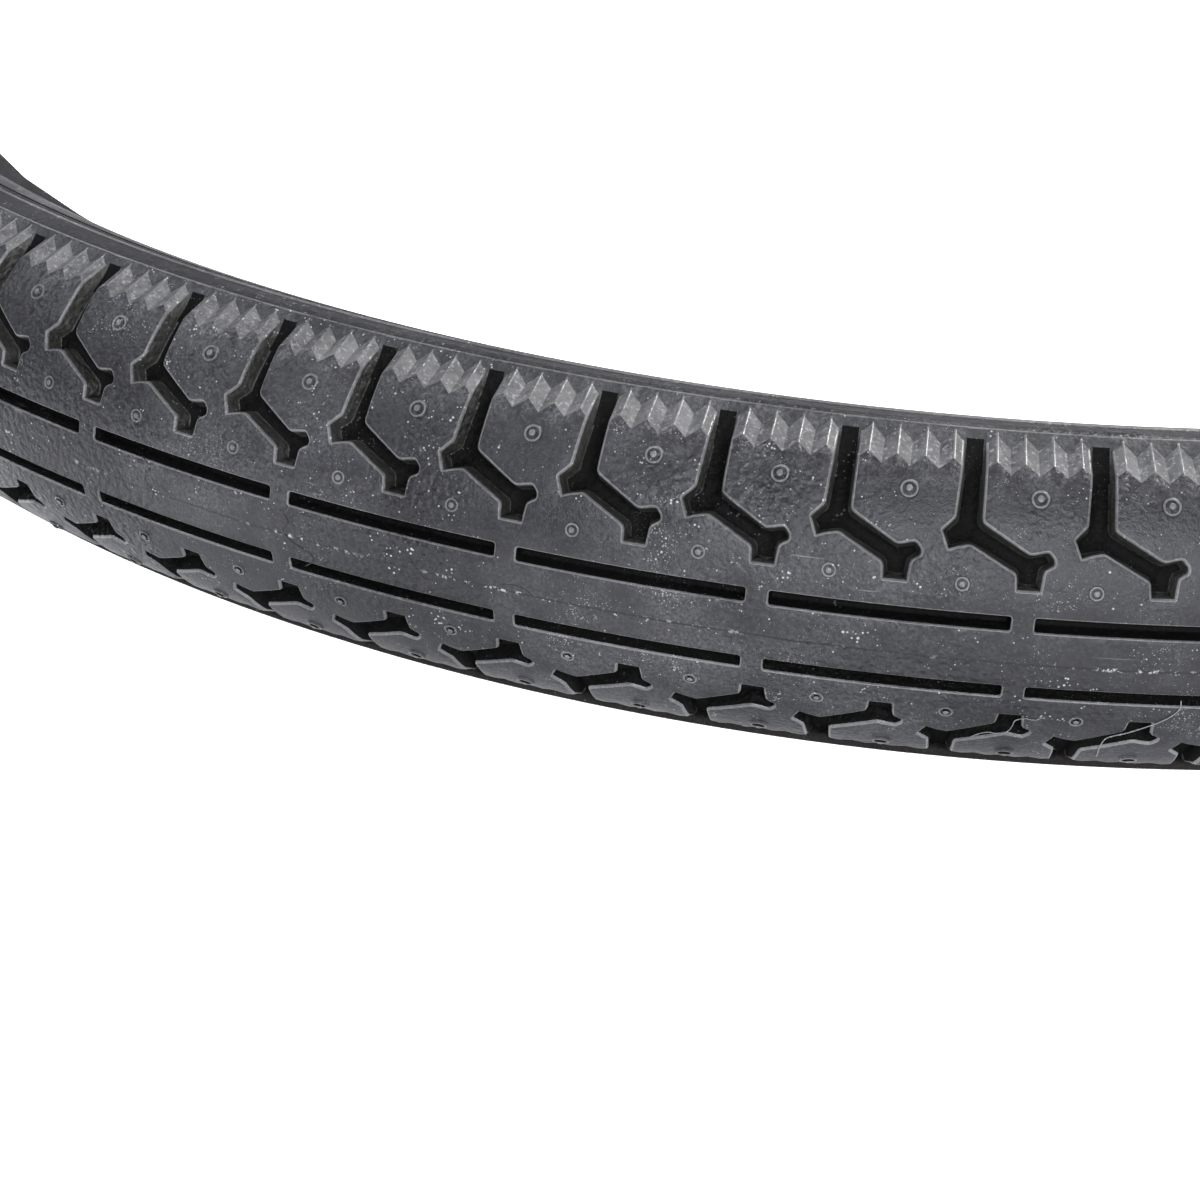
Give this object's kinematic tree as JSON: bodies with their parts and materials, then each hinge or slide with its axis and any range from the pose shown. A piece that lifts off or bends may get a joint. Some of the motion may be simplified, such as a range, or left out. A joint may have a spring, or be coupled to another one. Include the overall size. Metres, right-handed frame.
{
  "type": "bicycle tyre",
  "caption": "Bare black clincher cycle tyre lying flat, with a slotted centre band, Y-shaped shoulder grooves, serrated shoulders and wire beads.",
  "frame": {"origin": "centre of the tyre's bounding box, which is on its axle line in the tread's middle plane", "axes": "+Z along the axle line, so the tyre lies flat on its side; X and Y are alike"},
  "size_m": [0.5002, 0.5, 0.046],
  "materials": {
    "tread_rubber": "satin black moulded rubber",
    "sidewall_rubber": "satin black moulded rubber",
    "filler_rubber": "matte black rubber",
    "casing_fabric": "rubberised woven nylon",
    "breaker_fabric": "rubberised woven nylon",
    "chafer_fabric": "rubberised close weave",
    "bead_wire": "drawn steel wire with a thin bronze coat"
  },
  "bodies": {
    "root": {"tread_cap": "tread_rubber", "breaker_strip": "breaker_fabric", "casing_ply": "casing_fabric", "casing_overlap": "casing_fabric", "sidewall_upper": "sidewall_rubber", "bead_filler_upper": "filler_rubber", "bead_chafer_upper": "chafer_fabric", "bead_strand_upper_1": "bead_wire", "bead_strand_upper_2": "bead_wire", "bead_strand_upper_3": "bead_wire", "sidewall_lower": "sidewall_rubber", "bead_filler_lower": "filler_rubber", "bead_chafer_lower": "chafer_fabric", "bead_strand_lower_1": "bead_wire", "bead_strand_lower_2": "bead_wire", "bead_strand_lower_3": "bead_wire"}
  },
  "joints": []
}
